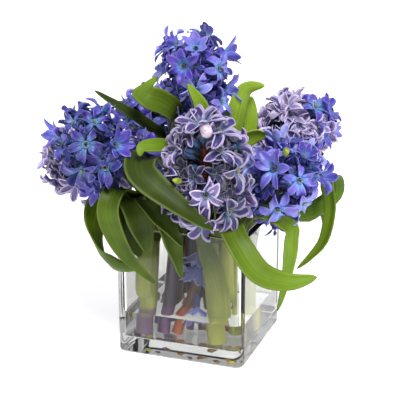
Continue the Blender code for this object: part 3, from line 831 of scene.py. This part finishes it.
def tepal_material(name, base, body, tip, middle, margin, margin_from, margin_amount, pale):
    """A lobe's colour from throat to tip, with a stripe down its middle, a margin, and fine veins."""
    made = new_material(name, 0.36)
    surface = made.node_tree.nodes["Principled BSDF"]
    surface.inputs["Sheen Weight"].default_value = 0.05
    surface.inputs["Subsurface Weight"].default_value = 0.06
    surface.inputs["Subsurface Radius"].default_value = (0.6 * MM, 0.6 * MM, 1.2 * MM)
    surface.inputs["Subsurface Scale"].default_value = 1
    place = node(made, "ShaderNodeUVMap").outputs["UV"]
    parts = node(made, "ShaderNodeSeparateXYZ", Vector=place)
    colour = ramp(made, parts.outputs["X"], (0.02, base), (0.42, body), (0.98, tip))
    off_middle = calculate(made, "ABSOLUTE", calculate(made, "SUBTRACT", parts.outputs["Y"], 0.5))
    stripe = ramp(made, off_middle, (0.0, WHITE), (0.16, BLACK))
    reach = ramp(made, parts.outputs["X"], (0.1, BLACK), (0.5, WHITE))
    stripe = calculate(made, "MULTIPLY", calculate(made, "MULTIPLY", stripe, reach), 0.7)
    colour = blend(made, stripe, colour, middle)
    past = calculate(made, "SUBTRACT", parts.outputs["X"], TIP_FROM)
    near_tip = calculate(made, "MULTIPLY", calculate(made, "MAXIMUM", past, 0), TIP_WEIGHT)
    rim = calculate(made, "MAXIMUM", off_middle, near_tip)
    edge = ramp(made, rim, (margin_from, BLACK), (margin_from + MARGIN_FADE, WHITE))
    colour = blend(made, calculate(made, "MULTIPLY", edge, margin_amount), colour, margin)
    stretched = node(made, "ShaderNodeMapping", Vector=place, Scale=LOBE_VEINS).outputs["Vector"]
    veins = noise(made, stretched, 1.0, 3.0)
    lines = ramp(made, veins, (0.38, (0.52, 0.48, 0.70, 1)), (0.62, (1.25, 1.25, 1.12, 1)))
    colour = blend(made, 1.0, colour, lines, "MULTIPLY")
    tone = node(made, "ShaderNodeAttribute", {"attribute_name": "tone"}).outputs["Fac"]
    patches = calculate(made, "MULTIPLY", noise(made, object_place(made), LOBE_PATCHES), 0.06)
    hue = calculate(made, "MULTIPLY", tone, 0.012)
    hue = calculate(made, "ADD", hue, calculate(made, "ADD", patches, 0.459))
    value = calculate(made, "ADD", calculate(made, "MULTIPLY", tone, 0.52), 0.78)
    toned = node(made, "ShaderNodeHueSaturation", Hue=hue, Saturation=1.1, Value=value, Color=colour)
    # Bright tones turn towards the pale colour: painted highlights on violet lobes, and the pale bloom of
    # lilac ones.
    paler = calculate(made, "MULTIPLY", calculate(made, "SUBTRACT", tone, 0.5), 0.5)
    paler = calculate(made, "MINIMUM", calculate(made, "MAXIMUM", paler, 0), 0.7)
    colour = blend(made, paler, toned.outputs["Color"], pale)
    wire(made, colour, "Base Color")
    bump(made, veins, 0.3, 0.2 * MM)
    return made


VIOLET_PALE_HIGHLIGHT = (0.42, 0.50, 0.86, 1)
LILAC_PALE = (0.55, 0.48, 0.66, 1)
violet_top = tepal_material(
    "violet_lobe", (0.20, 0.42, 0.78, 1), (0.17, 0.14, 0.51, 1), (0.135, 0.07, 0.38, 1),
    (0.08, 0.055, 0.38, 1), (0.28, 0.30, 0.72, 1), 0.40, 0.45, VIOLET_PALE_HIGHLIGHT)
violet_back = tepal_material(
    "violet_lobe_back", (0.12, 0.28, 0.62, 1), (0.20, 0.19, 0.58, 1), (0.20, 0.15, 0.52, 1),
    (0.06, 0.07, 0.36, 1), (0.36, 0.38, 0.76, 1), 0.40, 0.5, VIOLET_PALE_HIGHLIGHT)
lilac_top = tepal_material(
    "lilac_lobe", (0.16, 0.30, 0.48, 1), (0.09, 0.065, 0.22, 1), (0.12, 0.08, 0.24, 1),
    (0.05, 0.035, 0.15, 1), (0.60, 0.54, 0.72, 1), 0.33, 0.9, LILAC_PALE)
lilac_back = tepal_material(
    "lilac_lobe_back", (0.16, 0.28, 0.44, 1), (0.17, 0.13, 0.31, 1), (0.24, 0.18, 0.38, 1),
    (0.08, 0.05, 0.18, 1), (0.56, 0.50, 0.68, 1), 0.31, 0.85, LILAC_PALE)


# A lighter blue at the bell's mouth: partly the throat's colour and partly painted light that lifts the shade
# inside it.
THROAT_BLUE_AND_LIGHT = (0.22, 0.42, 0.70, 1)


def bell_material(name, stalk, body):
    """The bell's skin, which turns from its stalk's green to blue: its body darkened as painted shade, and
    lighter at its mouth as painted light.
    """
    made = new_material(name, 0.4)
    tone = node(made, "ShaderNodeAttribute", {"attribute_name": "rise"}).outputs["Fac"]
    streaks = noise(made, object_place(made), 500)
    colour = ramp(made, tone, (0.25, stalk), (0.55, body), (0.8, body), (0.93, THROAT_BLUE_AND_LIGHT))
    colour = blend(made, calculate(made, "MULTIPLY", streaks, 0.35), colour, (0.05, 0.04, 0.16, 1))
    wire(made, colour, "Base Color")
    return made


# The bells' bodies are dark blue, darkened as painted shade in the gaps between the lobes.
violet_bell = bell_material("violet_bell", (0.08, 0.09, 0.08, 1), (0.05, 0.09, 0.34, 1))
lilac_bell = bell_material("lilac_bell", (0.10, 0.11, 0.05, 1), (0.07, 0.15, 0.32, 1))
anther_skin = new_material("anther", 0.7)
wire(anther_skin, ramp(anther_skin, noise(anther_skin, object_place(anther_skin), 700),
     (0.35, (0.16, 0.15, 0.07, 1)), (0.65, (0.42, 0.40, 0.18, 1))), "Base Color")
floret_skins = {"violet": (violet_top, violet_back, violet_bell, anther_skin),
                "lilac": (lilac_top, lilac_back, lilac_bell, anther_skin)}
florets = {colour: [make_floret(colour, kind, skins) for kind in LOBE_TURNS]
           for colour, skins in floret_skins.items()}
for kinds in florets.values():
    for floret in kinds:
        rise = floret.data.attributes.new("rise", "FLOAT", "POINT")
        for vertex, value in zip(floret.data.vertices, rise.data):
            value.value = min(max(1 + vertex.co.z / (FLORET_RISE * MM), 0), 1)


# Flower heads: a juicy rachis that carries nineteen florets on a golden spiral, from a drooping skirt to the
# tip, each in its own place on the solid head. Small late florets fill the gaps between them, and a few more
# are listed one by one.
FLORETS_A_HEAD = 19
FLORET_DROOP = 30
GOLDEN_ANGLE = math.radians(137.5)
WANDER = 9
SPINS = [math.radians(10 * i) for i in range(12)]
LEANS = ((0, 0), (18, 0), (-18, 0), (0, 18), (0, -18))
TRIES = [(scale, lean) for scale in (1, 0.85, 0.7) for lean in LEANS]
NEAR = 0.3 * MM
SWAY = 14
TIPS_NEEDED = 3
RACHIS_ROUNDNESS = 4
RACHIS_STEPS = 8
RACHIS_RADIUS = 4.6
RACHIS_TAPER = 0.3
LATE_SCALES = (0.62, 0.82)
LATE_LEAN = 34
LATE_STEPS = (3, 5, 8)
BARE_SIDES = {"left_front": ((0.05, 0.60, 0.80), 18)}
BLUER_SIDES = {"right_back": ((0.85, 0.10, 0.50), 42)}
BARE_SPOTS = {"front": ((26, -74, 169), 15)}
SMALLER_FROM = 13
SMALLER_TIP = 0.28
FULLNESS = {"back_right": 0.84, "left_back": 0.93, "right_back": 0.93, "top": 0.95}
LATE_FULLNESS = {"right_back": 1.25}
TONES = (-0.3, 1.2)
# Late florets have low tones: painted shade in the gaps deep in each head.
LATE_SHADE_TONES = (-1, 0)
# Each head's tone shift: right_back is a paler head and left_back is made paler; top and right_front are
# lighter as painted light, left_front darker as painted shade, and front a little darker.
HEAD_PALENESS_AND_LIGHT = {"right_back": 1.1, "left_back": 0.4, "top": 0.55, "right_front": 0.55, "left_front": -0.2,
         "front": -0.1}
HAND_SET_TONE = 0.3
HAND_SET_FLORETS = {
    "left_front": [
        (8, (0.4, 0.18, 0.9), 0.85, "open"),
    ],
    "top": [
        (-17, (0.96, -0.1, 0.23), 0.85, "loose"),
    ],
    "front": [
        (13, (0.7, -0.48, 0.53), 0.85, "tangled"),
        (-2, (-0.53, -0.82, 0.22), 0.75, "late"),
        (19, (0.05, -0.38, 0.92), 1.05, "open"),
        (18, (-0.42, -0.34, 0.84), 1.0, "ragged"),
        (18, (0.5, -0.3, 0.81), 1.0, "nodding"),
        (12, (-0.62, -0.62, 0.48), 0.9, "loose"),
        (-16, (0.2, -0.8, -0.56), 1.0, "nodding"),
        (-14, (-0.2, -0.86, -0.48), 0.95, "tangled"),
    ],
    "right_back": [
        (10, (0.5, -0.66, 0.59), 0.85, "curled"),
        (15, (0.06, -0.65, 0.6), 0.8, "open"),
        (17, (0.77, -0.11, 0.77), 0.75, "late"),
        (5, (0.58, -0.76, 0.3), 0.8, "tangled"),
    ],
}
HEAD_COLOURS = {"front": "lilac", "left_front": "violet", "top": "violet", "right_front": "violet",
                "right_back": "lilac", "left_back": "lilac", "back_left": "violet", "back_right": "violet"}


def floret_places(name):
    """Each floret's root on the rachis and the way it opens, on a golden spiral from the skirt up."""
    centre, axis = head_axis(name)
    across = axis.orthogonal().normalized()
    skirt = math.sin(math.radians(FLORET_DROOP)) * FLORET_RISE
    total = skirt + RACHIS_LENGTH + FLORET_RISE
    for k in range(FLORETS_A_HEAD):
        height = (k + 0.4) / (FLORETS_A_HEAD - 0.6) * total - skirt
        along_rachis = min(max(height, 0), RACHIS_LENGTH)
        lift = math.asin((height - along_rachis) / FLORET_RISE)
        around = Matrix.Rotation(GOLDEN_ANGLE * k, 3, axis) @ across
        root = centre + axis * (along_rachis - RACHIS_LENGTH / 2)
        yield root, around * math.cos(lift) + axis * math.sin(lift)


def late_places(name):
    """The roots of the small late florets that fill the head between the others."""
    places = list(floret_places(name))
    for step in LATE_STEPS:
        for (root, opens), (later_root, later_opens) in zip(places, places[step:]):
            yield (root + later_root) / 2, (opens + later_opens * 1.02).normalized()


def bare(name, opens):
    """True on the side of a head where florets are missing and its rachis shows."""
    towards, spread = BARE_SIDES.get(name, (UP, 0))
    return math.degrees(Vector(opens).angle(Vector(towards))) < spread


def in_bare_spot(name, place):
    """True where a floret's mouth would hide a part of the rachis that shows."""
    spot, reach = BARE_SPOTS.get(name, (UP, 0))
    return (place.translation - Vector(spot)).length < reach


def kinds_at(name, place):
    """The florets that a head carries at a place: one lilac head turns violet on its right side."""
    towards, spread = BLUER_SIDES.get(name, (UP, 0))
    faces = place.to_3x3() @ UP
    if math.degrees(faces.angle(Vector(towards))) < spread:
        return florets["violet"]
    return florets[HEAD_COLOURS[name]]


def placing(root, opens, spin, scale, lean):
    """The matrix that takes a floret to where it grows, in millimetres."""
    turn = opens.to_track_quat("Z", "Y").to_matrix() @ Matrix.Rotation(math.radians(lean[0]), 3, "X")
    turn = turn @ Matrix.Rotation(math.radians(lean[1]), 3, "Y") @ Matrix.Rotation(spin, 3, "Z")
    return (Matrix.Translation(root) @ turn.to_4x4() @ Matrix.Scale(scale, 4)
            @ Matrix.Translation(UP * FLORET_RISE))


lobe_tips = [Matrix.Rotation(math.radians(60 * i), 3, "Z") @ Vector((LOBE_LENGTH, 0, -TIP_DROP * (i % 2)))
             for i in range(6)]


def tips_on(tree, place):
    """How many of a floret's six tips lie on the solid head."""
    return sum(tree.find_nearest((place @ tip) * MM, NEAR)[0] is not None for tip in lobe_tips)


def about_root(place, change):
    """A floret's place with a change made about its root."""
    pivot = Matrix.Translation(-UP * FLORET_RISE)
    return place @ pivot @ change @ pivot.inverted()


def grown_florets(name):
    """The placing of each floret that the solid head holds."""
    form = bmesh.new()
    form.from_mesh(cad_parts["head_" + name].data)
    tree = BVHTree.FromBMesh(form)
    form.free()
    draw = random.Random(name)
    for k, (root, opens) in enumerate(floret_places(name)):
        wander = (draw.uniform(-WANDER, WANDER), draw.uniform(-WANDER, WANDER))
        found = [(tips_on(tree, place), place) for place in
                 (placing(root, opens, spin, scale, (lean[0] + wander[0], lean[1] + wander[1]))
                  for scale, lean in TRIES for spin in SPINS)]
        best = max(found, key=lambda pair: pair[0])
        if best[0] >= TIPS_NEEDED and not bare(name, opens):
            smaller = SMALLER_TIP * max(0, k - SMALLER_FROM) / (FLORETS_A_HEAD - SMALLER_FROM)
            yield about_root(best[1], Matrix.Scale(FULLNESS.get(name, 1) * (1 - smaller), 4))


def copy_of(floret, place, tone):
    """A copy of a floret, with its own mesh and its own tone."""
    mesh = floret.data.copy()
    mesh.transform(Matrix.Scale(MM, 4) @ place @ Matrix.Scale(1 / MM, 4))
    shade = mesh.attributes.new("tone", "FLOAT", "POINT")
    for value in shade.data:
        value.value = tone
    made = bpy.data.objects.new("floret", mesh)
    bpy.context.scene.collection.objects.link(made)
    return made


rachis_skins = {
    "red": stem_material("red_rachis", *[(0.14, 0.02, 0.01, 1), (0.36, 0.05, 0.02, 1)] * 2),
    "dark": stem_material("dark_rachis", *[(0.04, 0.06, 0.05, 1), (0.08, 0.10, 0.12, 1)] * 2),
}
for name, colour in HEAD_COLOURS.items():
    centre, axis = head_axis(name)
    reach = RACHIS_LENGTH / 2 + CORE_FOOT
    steps = [centre + axis * (reach * (2 * i / RACHIS_STEPS - 1)) for i in range(RACHIS_STEPS + 1)]
    radii = [RACHIS_RADIUS - RACHIS_TAPER * i for i in range(RACHIS_STEPS + 1)]
    rachis = round_stalk("head_of_" + name, steps, radii, RACHIS_ROUNDNESS)
    rachis.data.materials.append(rachis_skins["red" if name == "front" else "dark"])
    pieces = [rachis]
    draw = random.Random("tone of " + name)
    # paler is the head's tone shift, partly paleness and partly painted light and shade.
    paler = HEAD_PALENESS_AND_LIGHT.get(name, 0)
    for place in grown_florets(name):
        sway = Matrix.Rotation(math.radians(draw.uniform(-SWAY, SWAY)), 4, (draw.random(), draw.random(), 0))
        place = about_root(place, sway)
        floret, tone = draw.choice(kinds_at(name, place)), draw.uniform(*TONES) + paler
        if not in_bare_spot(name, place):
            pieces.append(copy_of(floret, place, tone))
    for root, opens in late_places(name):
        spin = draw.uniform(0, math.tau)
        scale = draw.uniform(*LATE_SCALES) * LATE_FULLNESS.get(name, 1)
        lean = (draw.uniform(-LATE_LEAN, LATE_LEAN), draw.uniform(-LATE_LEAN, LATE_LEAN))
        place = placing(root, opens, spin, scale, lean)
        if not bare(name, opens) and not in_bare_spot(name, place):
            floret = draw.choice(kinds_at(name, place))
            pieces.append(copy_of(floret, place, draw.uniform(*LATE_SHADE_TONES) + paler))
    # The height of a listed floret also spins it.
    for height, opens, scale, kind in HAND_SET_FLORETS.get(name, []):
        place = placing(centre + axis * height, Vector(opens).normalized(), height, scale, (0, 0))
        pieces.append(copy_of(florets[colour][list(LOBE_TURNS).index(kind)], place, HAND_SET_TONE + paler))
    head = join(pieces, "head_of_" + name)
    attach(head, "root")
    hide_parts("head_" + name)


# Buds: a few florets in the front heads are still shut, as small waxy points among the open ones.
# Each is one turned shell, green or with a blush of lilac, on the outside of its head.
BUD_SIDES = 8
BUD = [(0.5, -6), (1.3, -4.5), (2.0, -1.5), (1.9, 1), (1.2, 3), (0.4, 4)]
BUDS = {"right_front": [((74.0, -24.0, 164.5), (0.3, -0.7, 0.6), 1.3, "green")],
        "front": [((32.6, -78.6, 188.2), (0.25, -0.85, 0.45), 2.2, "blush"),
                  ((12.0, -82.0, 152.0), (-0.3, -0.8, 0.3), 1.1, "green")]}
bud_skins = {}
for shade, base, tip in (("green", (0.16, 0.22, 0.02, 1), (0.40, 0.46, 0.06, 1)),
                         ("blush", (0.50, 0.36, 0.50, 1), (0.80, 0.68, 0.74, 1))):
    skin = new_material(shade + "_bud", 0.45)
    streaks = noise(skin, object_place(skin), 400)
    wire(skin, ramp(skin, streaks, (0.35, base), (0.65, tip)), "Base Color")
    bud_skins[shade] = skin
for name, buds in BUDS.items():
    for i, (place, points, size, shade) in enumerate(buds):
        bud = turned_shell("bud_%s_%d" % (name, i), BUD, BUD_SIDES)
        bud.data.materials.append(bud_skins[shade])
        turn = Vector(points).to_track_quat("Z", "Y").to_matrix().to_4x4()
        bud.data.transform(Matrix.Translation(Vector(place) * MM) @ turn @ Matrix.Scale(size, 4))
        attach(bud, "root")
        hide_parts("head_" + name)


# Loose florets: four open low on one stem, inside the vase. They hang, and are paler and bluer than the rest,
# and lighter as painted light behind the glass.
# Each is a copy of one kind of violet floret. Its height also spins it.
LOW_FLORETS = {"low_floret_top": (98, (-0.30, -0.55, -0.78), 1.1, "half_open"),
               "low_floret_upper": (86, (-0.30, -0.36, -0.86), 1.1, "half_open"),
               "low_floret_side": (70, (-0.62, -0.60, -0.50), 0.6, "late"),
               "low_floret_lower": (50, (0.15, -0.45, -0.88), 0.85, "half_open")}
LOW_FLORET_STEM = "right_back"
# A high tone: partly their paler colour and partly painted light that makes up for the dim glass in front.
LOW_FLORET_TONE_AND_LIGHT = 1.45
for name, (height, opens, scale, kind) in LOW_FLORETS.items():
    foot_xy, mouth = STEMS[LOW_FLORET_STEM][:2]
    root = Vector((*foot_xy, FEET_Z)).lerp(Vector(mouth), (height - FEET_Z) / (mouth[2] - FEET_Z))
    place = placing(root, Vector(opens).normalized(), height, scale, (0, 0))
    low = copy_of(florets["violet"][list(LOBE_TURNS).index(kind)], place, LOW_FLORET_TONE_AND_LIGHT)
    low.name = name
    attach(low, "root")
    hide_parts("stem_" + LOW_FLORET_STEM)
for kinds in florets.values():
    for floret in kinds:
        bpy.data.objects.remove(floret)


# Floor and light: a white sweep just under the vase, which glows a little, as on a light table. One broad
# soft lamp shines from above the camera and a little to its right, and the camera stands where the
# photograph was taken.
FLOOR = (0.85, 0.85, 0.85, 1)
FLOOR_GLOW = 0.66
FLOOR_SIDE = 12
FLOOR_DROP = -0.2 * MM
LAMP_PLACE = (0.6, -0.75, 1.4)
LAMP_AIM = (0, 0, 0.13)
LAMP_STRENGTH = 2.9
LAMP_SPREAD = math.radians(22)
SKY_LOW = (0.26, 0.26, 0.27, 1)
SKY_HIGH = (0.68, 0.68, 0.70, 1)
SKY_HIGH_AT = 0.7
CAMERA_PLACE = (0.269364, -0.745684, 0.352936)
CAMERA_TILT = math.radians(90 - 16.8)
CAMERA_TURN = math.radians(19.9)
CAMERA_LENS = 96.03

bpy.ops.object.select_all(action="DESELECT")
bpy.ops.mesh.primitive_plane_add(size=FLOOR_SIDE, location=(0, 0, FLOOR_DROP))
floor = bpy.context.object
floor.name = "floor"
pale = new_material("pale_floor", 0.8)
surface = pale.node_tree.nodes["Principled BSDF"]
surface.inputs["Base Color"].default_value = FLOOR
surface.inputs["Emission Color"].default_value = FLOOR
surface.inputs["Emission Strength"].default_value = FLOOR_GLOW
floor.data.materials.append(pale)
bpy.ops.object.light_add(type="SUN", location=LAMP_PLACE)
lamp = bpy.context.object
lamp.name = "key_lamp"
lamp.data.energy = LAMP_STRENGTH
lamp.data.angle = LAMP_SPREAD
lamp.rotation_euler = (Vector(LAMP_AIM) - Vector(LAMP_PLACE)).to_track_quat("-Z", "Y").to_euler()
world = bpy.data.worlds.new("studio")
world.use_nodes = True
sky = world.node_tree
above = sky.nodes.new("ShaderNodeTexCoord").outputs["Generated"]
parts = sky.nodes.new("ShaderNodeSeparateXYZ")
sky.links.new(above, parts.inputs[0])
fade = sky.nodes.new("ShaderNodeValToRGB")
fade.color_ramp.elements[0].color = SKY_LOW
fade.color_ramp.elements[1].color = SKY_HIGH
fade.color_ramp.elements[1].position = SKY_HIGH_AT
sky.links.new(parts.outputs["Z"], fade.inputs["Fac"])
sky.links.new(fade.outputs["Color"], sky.nodes["Background"].inputs["Color"])
bpy.context.scene.world = world
bpy.context.scene.view_settings.view_transform = "Standard"
bpy.ops.object.camera_add(location=CAMERA_PLACE, rotation=(CAMERA_TILT, 0, CAMERA_TURN))
camera = bpy.context.object
camera.data.lens = CAMERA_LENS
bpy.context.scene.camera = camera
